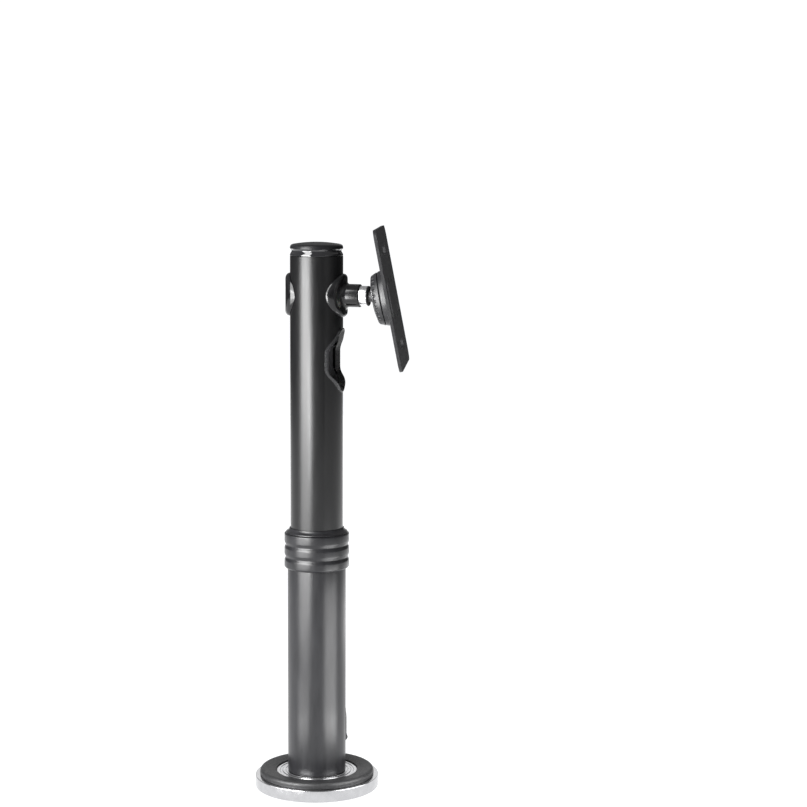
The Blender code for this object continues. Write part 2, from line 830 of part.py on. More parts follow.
def make_head():
    """Head drum, display plate and the screws between them."""
    drum = turned(
        "head_drum",
        [
            (drum_front_radius - gap, -drum_front),
            (drum_front_radius, -drum_front - gap),
            (drum_rear_radius, -drum_rear),
            (drum_bore_radius, -drum_rear),
            (drum_bore_radius, -drum_front),
        ],
        head,
        closed=True,
        steps=large_steps,
    )
    screw_circle = drum_bore_radius + plate_screw_wall + plate_screw_radius + screw_clearance
    places = round_places(plate_screw_count, screw_circle, pi / 4)
    half_side = pattern_large / 2 + plate_margin
    outlines = [rounded_rectangle((0, 0), half_side, half_side, plate_margin)]
    last_step = 2 * pi * (1 - 1 / hole_steps)
    for pattern in (pattern_small, pattern_large):
        for side_x in (-1, 1):
            for side_y in (-1, 1):
                centre = (side_x * pattern / 2, side_y * pattern / 2)
                outlines.append(arc(centre, display_hole_radius, 0, last_step, hole_steps - 1))
    for side in (-1, 1):
        upper = (side * window_offset, 0)
        outlines.append(rounded_rectangle(upper, window_half_height, window_half_width, window_corner, 2))
        lateral = (0, side * window_offset)
        outlines.append(rounded_rectangle(lateral, window_half_width, window_half_height, window_corner, 2))
    middle = make_frame("plate_middle", (0, 0, -(plate_front_setback + plate_rear) / 2))
    middle.parent = head
    plate = flat_mesh("display_plate", outlines, plate_thickness / 2, middle)

    front = -plate_front_setback - gap
    head_drop = plate_screw_head_radius - plate_screw_radius

    def screw_profile(extra):
        return [
            (0, front + extra),
            (plate_screw_head_radius + extra, front + extra),
            (plate_screw_radius + extra, front - head_drop),
            (plate_screw_radius + extra, front - plate_screw_length - extra),
            (0, front - plate_screw_length - extra),
        ]

    hole = turned("plate_screw_hole", screw_profile(screw_clearance), steps=hole_steps, group=cutters)
    screw_holes = repeated("plate_screw_holes", hole, places, head, cutters)
    cut(plate, screw_holes)
    cut(drum, screw_holes)
    for number, place in enumerate(places, 1):
        screw = turned("plate_screw_" + str(number), screw_profile(0), head, steps=hole_steps)
        screw.location = place
        paint(screw, (0.5, 0.5, 0.51), 0.3, 1)
    paint(drum, (0.045, 0.045, 0.048), 0.4, 0)
    paint(plate, (0.03, 0.03, 0.032), 0.5, 0.4)


def make_tension_ring():
    """Notched ring that screws into the drum and pulls the liner on to the part ball."""
    mouth_angle = asin(ring_mouth_radius / seat_radius)
    seat_points = behind_ball(seat_radius, mouth_angle, pi / 2 - seat_run_out, 5)
    seat_points[-1] = (seat_radius, seat_points[-1][1])
    skirt_front = drum_front + skirt_setback
    skirt = [
        (seat_radius, -skirt_front),
        (skirt_outer_radius, -skirt_front),
        (skirt_outer_radius, -ring_front),
    ]
    outer = [
        (drum_rear_radius, -ring_front),
        (ring_rim_radius + gap, -ring_rim + gap),
        (ring_rim_radius - gap, -ring_rim),
        (ring_mouth_radius, -ring_mouth),
    ]
    ring = turned("tension_ring", skirt + outer + seat_points, ring_pivot, closed=True, steps=large_steps)
    notch = rod("notch", notch_radius, -2 * notch_radius, 2 * notch_radius, None, 6, cutters)
    places = round_places(notch_count, ring_rim_radius + gap)
    notches = repeated("notches", notch, places, ring_pivot, cutters)
    notches.location.z = -ring_rim
    cut(ring, notches)
    paint(ring, (0.04, 0.04, 0.043), 0.42, 0)


start_clean()
parts = make_collection("desk_post_mount")
cutters = make_collection("cutters")

base = make_frame("base", (0, 0, 0))
collar = make_frame("collar", (0, 0, 0))
glide = make_frame("glide", (0, 0, 0))
post = make_frame("post", (0, 0, 0))
upright = make_frame("upright", (0, 0, arm_height))
arm = make_frame("arm", (0, 0, arm_height), ALONG_ARM)
liner_pivot = make_frame("liner_pivot", ball_centre, LINER_AXIS)
tilt_pivot = make_frame("tilt_pivot", ball_centre, HEAD_AXIS)
head = make_frame("head", ball_centre, HEAD_AXIS)
ring_pivot = make_frame("ring_pivot", ball_centre, HEAD_AXIS)

base_plate = make_base()
make_foot(base_plate)
lower_tube = make_tube("lower_tube", base, lower_tube_radius, lower_tube_wall, tube_seat, lower_tube_top)
lower_port = make_port(
    "lower_cable_port",
    base,
    lower_tube,
    lower_tube_radius,
    lower_port_height,
    lower_port_turn,
    (lower_port_half_width, lower_port_half_side, lower_port_half_length, lower_port_half_tip),
    lower_port_lip,
)
paint(lower_tube, (0.07, 0.07, 0.074), 0.35, 0.7)
paint(lower_port, (0.05, 0.05, 0.052), 0.5, 0)
make_twist_lock()
make_glide()
upper_tube = make_tube(
    "upper_tube",
    post,
    upper_tube_radius,
    upper_tube_wall,
    upper_tube_bottom,
    upper_tube_top,
)
upper_port = make_port(
    "upper_cable_port",
    post,
    upper_tube,
    upper_tube_radius,
    upper_port_height,
    0.0,
    (upper_port_half_width, upper_port_half_side, upper_port_half_length, upper_port_half_tip),
    upper_port_lip,
)
paint(upper_tube, (0.03, 0.03, 0.032), 0.3, 0.7)
paint(upper_port, (0.035, 0.035, 0.037), 0.35, 0)
make_arm(upper_tube)
make_cap()
make_ball_seats()
make_head()
make_tension_ring()
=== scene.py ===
# %% [markdown]
# # A desk monitor mount, dressed piece by piece
# The frame below is the engineered model: every solid and joint of the mount, in metres, standing on its
# base. This lesson keeps that frame and gives each piece that shows its fine edges, curves and surface
# finish.

# %% Load the frame
from math import cos, hypot, pi, radians, sin, sqrt

import bmesh
import bpy
from mathutils import Euler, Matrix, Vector


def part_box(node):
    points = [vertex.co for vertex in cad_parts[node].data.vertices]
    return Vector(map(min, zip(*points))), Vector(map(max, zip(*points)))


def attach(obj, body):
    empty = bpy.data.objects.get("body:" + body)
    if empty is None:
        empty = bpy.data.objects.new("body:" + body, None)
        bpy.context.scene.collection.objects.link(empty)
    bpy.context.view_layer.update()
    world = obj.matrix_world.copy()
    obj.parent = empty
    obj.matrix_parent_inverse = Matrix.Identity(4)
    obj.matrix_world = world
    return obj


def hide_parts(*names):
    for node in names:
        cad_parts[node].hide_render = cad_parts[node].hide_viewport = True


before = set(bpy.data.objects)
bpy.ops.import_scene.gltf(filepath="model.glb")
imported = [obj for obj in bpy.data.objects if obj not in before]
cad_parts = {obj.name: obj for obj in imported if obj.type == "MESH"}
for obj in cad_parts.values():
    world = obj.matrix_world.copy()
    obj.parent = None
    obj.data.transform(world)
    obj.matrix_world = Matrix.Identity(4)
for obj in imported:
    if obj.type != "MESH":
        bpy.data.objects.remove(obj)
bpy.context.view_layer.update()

MM = 0.001

# %% [markdown]
# ## The camera
# A product picture is taken from a few steps away with a long lens, so the tubes stay almost parallel. The
# camera stands to the right of the front, a little above the middle of the post, and looks slightly down.

# %% Set up the camera
camera = bpy.data.objects.new("camera", bpy.data.cameras.new("camera"))
bpy.context.scene.collection.objects.link(camera)
camera.location = (0.5149, -1.68415, 0.5532)
camera.rotation_euler = (radians(82.9429), radians(-0.257), radians(14.6221))
camera.data.sensor_fit = "HORIZONTAL"
camera.data.sensor_width = 36
camera.data.lens = 92.73
bpy.context.scene.camera = camera
print("camera", [round(v, 3) for v in camera.location])

# %% [markdown]
# ## The studio
# The room is a white sweep, so what the camera sees behind the mount is plain white. Dark tubes are drawn by
# what they reflect. A dim horizon gives the upper tube its deep sides. Three key panels on the left, one
# above the other, draw the bright stripe down the post, and a narrow strip lights the arm's sleeve. Four low
# strips near the foot draw the pair of soft bands on the lower tube. Three weak panels behind the mount give
# the far edges of the base, the tubes and the cap a thin line of light.

# %% Light the room
cool_white = (0.985, 0.99, 1.0, 1)


def studio_world(seen, horizon, above):
    """White to the camera; to the surfaces a room that is dim at the horizon and brighter higher up."""
    brightens_from, brightens_to = 0.03, 0.34  # sines of the angle above the horizon
    world = bpy.data.worlds.new("studio")
    world.use_nodes = True
    nodes, links = world.node_tree.nodes, world.node_tree.links
    room = nodes["Background"]
    white = nodes.new("ShaderNodeBackground")
    white.inputs["Strength"].default_value = seen
    place = nodes.new("ShaderNodeTexCoord")
    split = nodes.new("ShaderNodeSeparateXYZ")
    rise = nodes.new("ShaderNodeMapRange")
    rise.interpolation_type = "SMOOTHSTEP"
    rise.inputs["From Min"].default_value = brightens_from
    rise.inputs["From Max"].default_value = brightens_to
    rise.inputs["To Min"].default_value = horizon
    rise.inputs["To Max"].default_value = above
    path = nodes.new("ShaderNodeLightPath")
    mix = nodes.new("ShaderNodeMixShader")
    links.new(place.outputs["Generated"], split.inputs[0])
    links.new(split.outputs["Z"], rise.inputs["Value"])
    links.new(rise.outputs["Result"], room.inputs["Strength"])
    links.new(path.outputs["Is Camera Ray"], mix.inputs[0])
    links.new(room.outputs[0], mix.inputs[1])
    links.new(white.outputs[0], mix.inputs[2])
    links.new(mix.outputs[0], nodes["World Output"].inputs["Surface"])
    for shade in (room, white):
        shade.inputs["Color"].default_value = cool_white
    bpy.context.scene.world = world


def light_panel(name, azimuth, distance, low, high, width, glow):
    """A soft box on a circle round the post, facing it, whose power is its glow times its area times pi."""
    lamp = bpy.data.lights.new(name, "AREA")
    lamp.shape = "RECTANGLE"
    lamp.size = width
    lamp.size_y = high - low
    lamp.energy = glow * width * (high - low) * pi
    panel = bpy.data.objects.new(name, lamp)
    bpy.context.scene.collection.objects.link(panel)
    turn = radians(azimuth)
    panel.location = (distance * sin(turn), -distance * cos(turn), (low + high) / 2)
    panel.rotation_euler = (pi / 2, 0, turn)
    panel.visible_camera = False
    print(name, "glow", glow, "power", round(lamp.energy, 2))
    return panel


bpy.context.scene.view_settings.view_transform = "Standard"
studio_world(seen=1.05, horizon=0.06, above=0.27)
# Each row: name, degrees round from the front, distance, bottom, top and width in metres, glow.
for panel in (
    ("key_low", -32, 0.6, 0.0, 0.25, 0.5, 6.5),
    ("key_middle", -32, 0.6, 0.25, 0.6, 0.45, 15.5),
    ("arm_strip", -12, 0.49, 0.2, 0.42, 0.07, 22.0),
    ("key_high", -32, 1.08, 0.6, 2.2, 0.72, 8.5),
    ("left_foot_strip", -33, 0.08, 0.016, 0.045, 0.06, 2.8),
    ("left_strip", -33, 0.115, 0.02, 0.07, 0.09, 2.8),
    ("right_foot_strip", 68.5, 0.08, 0.016, 0.045, 0.07, 4.8),
    ("right_strip", 68.5, 0.115, 0.02, 0.178, 0.1, 4.5),
    ("back_low", 149, 0.55, 0.0, 0.08, 0.5, 1.3),
    ("back_middle", 197, 0.55, 0.1, 0.3, 0.6, 1.0),
    ("back_high", 186, 0.55, 0.54, 0.62, 0.12, 0.6),
):
    light_panel(*panel)

# %% [markdown]
# ## The floor
# The mount stands on a white table top. A disc is enough: past its rim the camera sees the same white.

# %% Lay the floor
def put_down():
    """Leave edit mode and let go of everything."""
    if bpy.context.object and bpy.context.object.mode == "EDIT":
        bpy.ops.object.mode_set(mode="OBJECT")
    bpy.ops.object.select_all(action="DESELECT")


def pick_up(piece):
    """Make one piece the only one selected."""
    put_down()
    piece.select_set(True)
    bpy.context.view_layer.objects.active = piece


put_down()
bpy.ops.mesh.primitive_circle_add(vertices=96, radius=2.5, fill_type="NGON", location=(0, 0, 0))
floor = bpy.context.object
floor.name = "floor"
floor_paint = bpy.data.materials.new("floor_paint")
floor_paint.use_nodes = True
floor_shader = floor_paint.node_tree.nodes["Principled BSDF"]
floor_shader.inputs["Base Color"].default_value = (0.04, 0.04, 0.04, 1)
floor_shader.inputs["Roughness"].default_value = 1.0
floor_shader.inputs["Specular IOR Level"].default_value = 0.0
floor_shader.inputs["Emission Color"].default_value = cool_white
floor_shader.inputs["Emission Strength"].default_value = 1.14
floor.data.materials.append(floor_paint)
print("floor laid")

# %% [markdown]
# ## How a finish is built up
# Real finishes are never one flat colour. Each one here starts from its colour and gloss and then gets up to
# three kinds of detail at its real size in millimetres: a slow mottle in colour, a slow change in gloss, and
# a fine grain that bends the light. All of it reads the piece's own coordinates, so it turns and slides with
# the piece.

# %% Helpers for finishes
def start_finish(name, colour, roughness, metallic=0.0):
    """A finish with its plain colour, gloss and metal share."""
    finish = bpy.data.materials.new(name)
    finish.use_nodes = True
    shader = finish.node_tree.nodes["Principled BSDF"]
    shader.inputs["Base Color"].default_value = (*colour, 1)
    shader.inputs["Roughness"].default_value = roughness
    shader.inputs["Metallic"].default_value = metallic
    return finish


def parts_of(finish):
    """The node tree's nodes and links, and its shader."""
    tree = finish.node_tree
    return tree.nodes, tree.links, tree.nodes["Principled BSDF"]


def set_value(finish, socket, value):
    """Set one of the shader's own values."""
    parts_of(finish)[2].inputs[socket].default_value = value


def stretched_place(finish, stretch=(1, 1, 1)):
    """The piece's own coordinates in millimetres, stretched along any axis."""
    nodes, links, _ = parts_of(finish)
    place = nodes.new("ShaderNodeTexCoord")
    scale = nodes.new("ShaderNodeMapping")
    scale.inputs["Scale"].default_value = [1 / (MM * s) for s in stretch]
    links.new(place.outputs["Object"], scale.inputs["Vector"])
    return scale.outputs["Vector"]


def spots(finish, size, stretch=(1, 1, 1), detail=3.0):
    """Soft random spots of a size in millimetres."""
    nodes, links, _ = parts_of(finish)
    noise = nodes.new("ShaderNodeTexNoise")
    noise.inputs["Scale"].default_value = 1 / size
    noise.inputs["Detail"].default_value = detail
    links.new(stretched_place(finish, stretch), noise.inputs["Vector"])
    return noise.outputs["Fac"]


def rings(finish, pitch, wobble=0.0):
    """Turning marks: rings round the piece's upright axis, one each pitch in millimetres."""
    nodes, links, _ = parts_of(finish)
    wave = nodes.new("ShaderNodeTexWave")
    wave.wave_type = "RINGS"
    wave.rings_direction = "Z"
    wave.inputs["Scale"].default_value = pi / 10 / pitch
    wave.inputs["Distortion"].default_value = wobble
    links.new(stretched_place(finish), wave.inputs["Vector"])
    return wave.outputs["Fac"]


def vary_gloss(finish, pattern, low, high):
    """Let a pattern move the roughness between two values."""
    nodes, links, shader = parts_of(finish)
    fit = nodes.new("ShaderNodeMapRange")
    fit.inputs["From Min"].default_value = 0.3
    fit.inputs["From Max"].default_value = 0.7
    fit.inputs["To Min"].default_value = low
    fit.inputs["To Max"].default_value = high
    links.new(pattern, fit.inputs["Value"])
    links.new(fit.outputs["Result"], shader.inputs["Roughness"])


def vary_colour(finish, pattern, dark, light):
    """Let a pattern move the colour between two shades."""
    nodes, links, shader = parts_of(finish)
    ramp = nodes.new("ShaderNodeValToRGB")
    ramp.color_ramp.elements[0].position = 0.32
    ramp.color_ramp.elements[0].color = (*dark, 1)
    ramp.color_ramp.elements[1].position = 0.68
    ramp.color_ramp.elements[1].color = (*light, 1)
    links.new(pattern, ramp.inputs["Fac"])
    links.new(ramp.outputs["Color"], shader.inputs["Base Color"])


def add_relief(finish, pattern, height, strength=1.0):
    """Bend the light as a relief of this height in millimetres would, over any relief already there."""
    nodes, links, shader = parts_of(finish)
    bump = nodes.new("ShaderNodeBump")
    bump.inputs["Distance"].default_value = height * MM
    bump.inputs["Strength"].default_value = strength
    links.new(pattern, bump.inputs["Height"])
    under = shader.inputs["Normal"].links
    if under:
        links.new(under[0].from_socket, bump.inputs["Normal"])
    links.new(bump.outputs["Normal"], shader.inputs["Normal"])


print("finish helpers ready")

# %% [markdown]
# ## Satin aluminium
# The desk plate is turned from aluminium and finely brushed: bright and soft, with rings too fine to count.

# %% Finish: satin aluminium
satin = start_finish("satin_aluminium", (0.84, 0.84, 0.85), 0.24, 1.0)
vary_colour(satin, spots(satin, 9.0), (0.49, 0.49, 0.5), (0.55, 0.55, 0.56))
vary_gloss(satin, rings(satin, 0.9, 2.0), 0.18, 0.26)
add_relief(satin, rings(satin, 0.45), 0.0015)
add_relief(satin, spots(satin, 0.25), 0.004, 0.5)

# %% [markdown]
# ## Anodised tubes
# Anodising leaves aluminium dark and slightly silky. The lower tube and the collar with its wiper are
# charcoal. The upper tube is darker, almost black, and part of that darkness is painted shade: it stands for
# the shade and dark reflection of a mounted display, which is not in the scene. A fine etched grain breaks up
# the reflections, and drawing the tube leaves very faint upright streaks.

# %% Finish: anodised tubes
def anodised(name, dark, light, gloss_low, gloss_high):
    """A silky dark anodised finish."""
    finish = start_finish(name, light, gloss_low)
    vary_colour(finish, spots(finish, 6.0, (1, 1, 5)), dark, light)
    vary_gloss(finish, spots(finish, 1.6, (1, 1, 14)), gloss_low, gloss_high)
    add_relief(finish, spots(finish, 0.35), 0.006, 0.5)
    return finish


# The upper tube's near black is partly painted shade, standing for a mounted display's shade.
upper_anodised = anodised("upper_anodised", (0.002, 0.002, 0.0022), (0.0035, 0.0035, 0.0038), 0.29, 0.35)
lower_anodised = anodised("lower_anodised", (0.008, 0.008, 0.009), (0.013, 0.013, 0.0145), 0.28, 0.36)
collar_black = anodised("collar_black", (0.007, 0.007, 0.008), (0.012, 0.012, 0.0135), 0.28, 0.36)

# %% [markdown]
# ## Moulded and painted blacks
# The cap is a polished moulding with a satin top. The arm and the head are satin paint over castings. The
# frames of the cable ports are plain mouldings, and the ring on the base has a coarse moulded grain that
# hides dust.

# %% Finish: blacks
gloss_black = start_finish("gloss_black", (0.006, 0.006, 0.007), 0.07)
set_value(gloss_black, "IOR", 1.8)
vary_gloss(gloss_black, spots(gloss_black, 5.0), 0.05, 0.1)
add_relief(gloss_black, spots(gloss_black, 2.5), 0.003, 0.3)

cap_satin = start_finish("cap_satin", (0.008, 0.008, 0.009), 0.3)
set_value(cap_satin, "Specular IOR Level", 0.25)
vary_gloss(cap_satin, spots(cap_satin, 3.0), 0.26, 0.36)
add_relief(cap_satin, spots(cap_satin, 0.5), 0.004, 0.5)

arm_black = start_finish("arm_black", (0.004, 0.004, 0.0045), 0.26)
vary_colour(arm_black, spots(arm_black, 4.0), (0.003, 0.003, 0.0033), (0.006, 0.006, 0.0065))
vary_gloss(arm_black, spots(arm_black, 2.0), 0.13, 0.19)
add_relief(arm_black, spots(arm_black, 0.5), 0.006, 0.5)

head_black = start_finish("head_black", (0.03, 0.03, 0.032), 0.42)
vary_colour(head_black, spots(head_black, 4.0), (0.009, 0.009, 0.010), (0.016, 0.016, 0.017))
vary_gloss(head_black, spots(head_black, 1.5), 0.32, 0.42)
add_relief(head_black, spots(head_black, 0.6), 0.02, 0.5)

plate_black = start_finish("plate_black", (0.025, 0.025, 0.027), 0.45)
vary_colour(plate_black, spots(plate_black, 7.0), (0.008, 0.008, 0.009), (0.015, 0.015, 0.016))
vary_gloss(plate_black, spots(plate_black, 1.2), 0.36, 0.48)
add_relief(plate_black, spots(plate_black, 0.7), 0.03, 0.6)

moulded_black = start_finish("moulded_black", (0.014, 0.014, 0.015), 0.26)
vary_gloss(moulded_black, spots(moulded_black, 2.0), 0.22, 0.32)
add_relief(moulded_black, spots(moulded_black, 0.4), 0.008, 0.5)

textured_black = start_finish("textured_black", (0.01, 0.01, 0.011), 0.34)
vary_colour(textured_black, spots(textured_black, 1.6), (0.002, 0.002, 0.0023), (0.014, 0.014, 0.015))
vary_gloss(textured_black, spots(textured_black, 1.3), 0.4, 0.6)
add_relief(textured_black, spots(textured_black, 2.2, detail=4.0), 0.2, 0.6)

# %% [markdown]
# ## Bright metal, rubber and nylon
# The shoulder of the ball stud is chrome plated and its part ball is hard coated in grey, so that grease
# doesn't show. Screws are zinc plated steel, the pad is grippy rubber, and the guides are nylon. The bore
# inside the tubes is a dull grey, lighter than the outside: that grey is painted light, so that the inside of
# the cable ports reads as dimly lit.

# %% Finish: the small parts
chrome = start_finish("chrome", (0.9, 0.9, 0.91), 0.26, 1.0)
vary_gloss(chrome, spots(chrome, 2.0), 0.22, 0.3)
add_relief(chrome, spots(chrome, 0.8), 0.001, 0.4)

ball_grey = start_finish("ball_grey", (0.03, 0.03, 0.032), 0.4)
vary_colour(ball_grey, spots(ball_grey, 3.0), (0.024, 0.024, 0.026), (0.036, 0.036, 0.038))
vary_gloss(ball_grey, spots(ball_grey, 1.0), 0.35, 0.45)
add_relief(ball_grey, spots(ball_grey, 0.5), 0.004, 0.5)

# The bore's dull grey is painted light inside the tubes.
bore_grey_painted_light = start_finish("bore_grey_painted_light", (0.3, 0.3, 0.31), 0.6)
vary_colour(bore_grey_painted_light, spots(bore_grey_painted_light, 4.0, (1, 1, 6)), (0.26, 0.26, 0.27), (0.34, 0.34, 0.35))
vary_gloss(bore_grey_painted_light, spots(bore_grey_painted_light, 1.5, (1, 1, 10)), 0.5, 0.7)
add_relief(bore_grey_painted_light, spots(bore_grey_painted_light, 0.5, (1, 1, 20)), 0.02, 0.6)

steel = start_finish("steel", (0.55, 0.55, 0.56), 0.3, 1.0)
vary_gloss(steel, spots(steel, 0.8), 0.24, 0.4)
add_relief(steel, spots(steel, 0.3), 0.003, 0.5)

plain_aluminium = start_finish("plain_aluminium", (0.6, 0.6, 0.61), 0.4, 1.0)
vary_gloss(plain_aluminium, rings(plain_aluminium, 0.8), 0.34, 0.5)
add_relief(plain_aluminium, rings(plain_aluminium, 0.4), 0.004)

rubber = start_finish("rubber", (0.02, 0.02, 0.02), 0.8)
vary_colour(rubber, spots(rubber, 3.0), (0.015, 0.015, 0.015), (0.028, 0.028, 0.028))
add_relief(rubber, spots(rubber, 0.6, detail=5.0), 0.05, 0.8)

nylon = start_finish("nylon", (0.78, 0.77, 0.73), 0.42)
set_value(nylon, "Subsurface Weight", 0.15)
set_value(nylon, "Subsurface Scale", 0.002)
vary_colour(nylon, spots(nylon, 5.0), (0.74, 0.73, 0.69), (0.81, 0.8, 0.77))
add_relief(nylon, spots(nylon, 0.5), 0.01, 0.4)
print("finishes", len(bpy.data.materials))

# %% [markdown]
# ## Turning a piece
# Nearly everything on this mount is round, so it is made like on a lathe: a circle is extruded from corner to
# corner of the piece's side view and scaled to the radius there. A corner may carry a rounding, made by a
# bevel. The pieces are then swung on to their own axis, and handed over to the part of the mount that they
# move with.

# %% Helpers for turned pieces
LARGE_ROUND = 144  # sides of a large round piece
SHARP = radians(32)  # edges sharper than this stay sharp
NEAR = 3e-6  # metres within which a point counts as on a ring


def pick_ring(piece, radius, height):
    """In edit mode, select the ring of edges at a radius and height in millimetres."""
    bpy.ops.mesh.select_all(action="DESELECT")
    mesh = bmesh.from_edit_mesh(piece.data)
    for point in mesh.verts:
        near = abs(hypot(point.co.x, point.co.y) - radius * MM) < NEAR
        point.select = near and abs(point.co.z - height * MM) < NEAR
    mesh.select_flush(True)
    bmesh.update_edit_mesh(piece.data)


def close_ring(piece, radius, height, tip):
    """Draw a ring together into a point on the axis."""
    pick_ring(piece, radius, height)
    bpy.ops.mesh.extrude_edges_move(TRANSFORM_OT_translate={"value": (0, 0, (tip - height) * MM)})
    bpy.ops.mesh.merge(type="CENTER")


def finish_shape(piece):
    """Weld doubles, turn the faces outwards and smooth all but the sharp edges."""
    pick_up(piece)
    bpy.ops.object.mode_set(mode="EDIT")
    bpy.ops.mesh.select_all(action="SELECT")
    bpy.ops.mesh.remove_doubles(threshold=1e-7)
    bpy.ops.mesh.normals_make_consistent(inside=False)
    bpy.ops.object.mode_set(mode="OBJECT")
    bpy.ops.object.shade_smooth_by_angle(angle=SHARP)


def turned(name, corners, closed=False, steps=96):
    """Extrude a circle through (radius, height, rounding) corners in millimetres, about the upright axis."""
    corners = [(*corner, 0)[:3] for corner in corners]
    loops = [corner for corner in corners if corner[0] > 0]
    put_down()
    start = (0, 0, loops[0][1] * MM)
    bpy.ops.mesh.primitive_circle_add(vertices=steps, radius=loops[0][0] * MM, location=start)
    piece = bpy.context.object
    piece.name = name
    bpy.ops.object.transform_apply()
    bpy.ops.object.mode_set(mode="EDIT")
    bpy.ops.mesh.select_mode(type="VERT")
    bpy.ops.mesh.select_all(action="SELECT")
    for here, there in zip(loops, loops[1:]):
        bpy.ops.mesh.extrude_edges_move(TRANSFORM_OT_translate={"value": (0, 0, (there[1] - here[1]) * MM)})
        grow = there[0] / here[0]
        bpy.ops.transform.resize(value=(grow, grow, 1), center_override=(0, 0, there[1] * MM))
    if closed:
        bpy.ops.mesh.select_all(action="SELECT")
        bpy.ops.mesh.region_to_loop()
        bpy.ops.mesh.bridge_edge_loops()
    if corners[-1][0] == 0:
        close_ring(piece, *loops[-1][:2], corners[-1][1])
    if corners[0][0] == 0:
        close_ring(piece, *loops[0][:2], corners[0][1])
    for radius, height, rounding in loops:
        if rounding:
            pick_ring(piece, radius, height)
            bpy.ops.mesh.bevel(offset=rounding * MM, segments=3 + round(1.6 * rounding), affect="EDGES")
    finish_shape(piece)
    return piece


def on_circle(radius, angle):
    """A place on a circle in millimetres round the upright axis."""
    return radius * MM * cos(angle), radius * MM * sin(angle), 0


def set_on(piece, place, turn=(0, 0, 0)):
    """Swing a piece on to its axis and keep that place in its mesh."""
    pick_up(piece)
    piece.location = place
    piece.rotation_euler = turn
    bpy.ops.object.transform_apply()
    return piece


def cut_with(piece, cutter):
    """Take the space of one piece out of another."""
    pick_up(piece)
    step = piece.modifiers.new("cut", "BOOLEAN")
    step.object = cutter
    step.solver = "EXACT"
    bpy.ops.object.modifier_apply(modifier=step.name)
    bpy.data.objects.remove(cutter)
    bpy.ops.object.shade_smooth_by_angle(angle=SHARP)


def hand_over(piece, node, body, finish):
    """Let a finished piece stand for a node, move with its body and wear its finish."""
    piece.data.name = piece.name
    piece.data.materials.clear()
    piece.data.materials.append(finish)
    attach(piece, body)
    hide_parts(node)
    low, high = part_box(node)
    pick_up(piece)
    mine = [piece.matrix_world @ Vector(corner) for corner in piece.bound_box]
    over = max(max(v[i] for v in mine) - high[i] for i in range(3))
    under = max(low[i] - min(v[i] for v in mine) for i in range(3))
    faces = sum(len(face.vertices) - 2 for face in piece.data.polygons)
    print(piece.name, "triangles", faces, "past its node by", round(max(over, under) / MM, 2), "mm")


def second_finish(piece, finish, chosen):
    """Give another finish to the faces whose middle a test chooses."""
    piece.data.materials.append(finish)
    for face in piece.data.polygons:
        if chosen(face.center / MM):
            face.material_index = 1
    changed = sum(face.material_index for face in piece.data.polygons)
    print(piece.name, "wears", finish.name, "on", changed, "faces")


def reach(node):
    """A turned node's radius, lowest and highest point in millimetres."""
    low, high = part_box(node)
    return high.x / MM, low.z / MM, high.z / MM


print("turning helpers ready")

# %% [markdown]
# ## The base plate
# A heavy disc of satin aluminium. Its middle stands up through the black ring as a step with two rounded
# beads and a groove between them, which frame the foot of the tube. Screws from below hold the tube, and
# three holes under the ring take the desk screws.

# %% Base plate
base_radius, base_low, base_top = reach("base_plate")
step_radius = base_radius - 18.6
rim_top = base_top - 3.4
plate = turned(
    "base_plate_turned",
    [
        (0, base_top - 5),
        (18.0, base_top - 5),
        (18.0, base_top, 0.3),
        (step_radius - 8.3, base_top, 0.2),
        (step_radius - 7.9, base_top - 0.5, 0.15),
        (step_radius - 7.4, base_top - 0.5, 0.15),
        (step_radius - 7.2, base_top, 0.25),
        (step_radius - 5.2, base_top, 0.25),
        (step_radius - 4.8, base_top - 0.6, 0.2),
        (step_radius - 2.9, base_top - 0.6, 0.2),
        (step_radius - 2.5, base_top, 0.25),
        (step_radius, base_top, 0.22),
        (step_radius, rim_top),
        (base_radius, rim_top, 0.5),
        (base_radius, base_low, 0.8),
        (base_radius - 3.0, base_low),
        (base_radius - 3.0, 1.8),
        (0, 1.8),
    ],
    steps=LARGE_ROUND,
)
hole_radius, sink_radius = 3.3, 5.9
desk_hole = [(0, 20), (hole_radius, 20), (hole_radius, -5), (0, -5)]
foot_hole = [(0, 20), (hole_radius, 20), (hole_radius, 4.9), (sink_radius, 2.1), (sink_radius, 0), (0, 0)]
for side, circle, first in ((desk_hole, base_radius - 9.8, 60), (foot_hole, 10.5, 0)):
    for number in range(3):
        drill = turned("drill", side, steps=32)
        cut_with(plate, set_on(drill, on_circle(circle, radians(first + 120 * number))))
hand_over(plate, "base_plate", "base", satin)

# %% [markdown]
# ## The cover ring
# A black moulded ring that drops over the step and hides the desk screws. Its top is slightly dished towards
# the step, and its outer edge is a full round shoulder that catches the light.

# %% Cover ring
ring_radius, ring_low, ring_top = reach("cover_ring")
ring_bore = step_radius + 0.3
ring_wall, ring_skirt = 1.8, ring_top - 4.3
cover = turned(
    "cover_ring_moulded",
    [
        (ring_bore, ring_top - 1.3, 0.5),
        (ring_radius - 4.0, ring_top, 0.6),
        (ring_radius, ring_top, 3.0),
        (ring_radius, ring_low, 0.15),
        (ring_radius - ring_wall, ring_low),
        (ring_radius - ring_wall, ring_top - 4.2),
        (ring_radius - 4.2, ring_top - ring_wall),
        (ring_bore + ring_wall, ring_top - 3.1),
        (ring_bore + ring_wall, ring_skirt),
        (ring_bore, ring_skirt),
    ],
    closed=True,
    steps=LARGE_ROUND,
)
hand_over(cover, "cover_ring", "base", textured_black)

# %% [markdown]
# ## The two tubes
# Plain drawn tubes with the sharp edge broken at their ends. The holes for the cable ports and for the arm
# are cut once those pieces have given their shapes, so the tubes are only turned here.

# %% Tubes
def drawn_tube(name, radius, low, high, wall):
    """A tube between two heights."""
    bore = radius - wall
    outline = [(radius, high, 0.3), (radius, low, 0.3), (bore, low), (bore, high, 0.2)]
    return turned(name, outline, closed=True, steps=LARGE_ROUND)


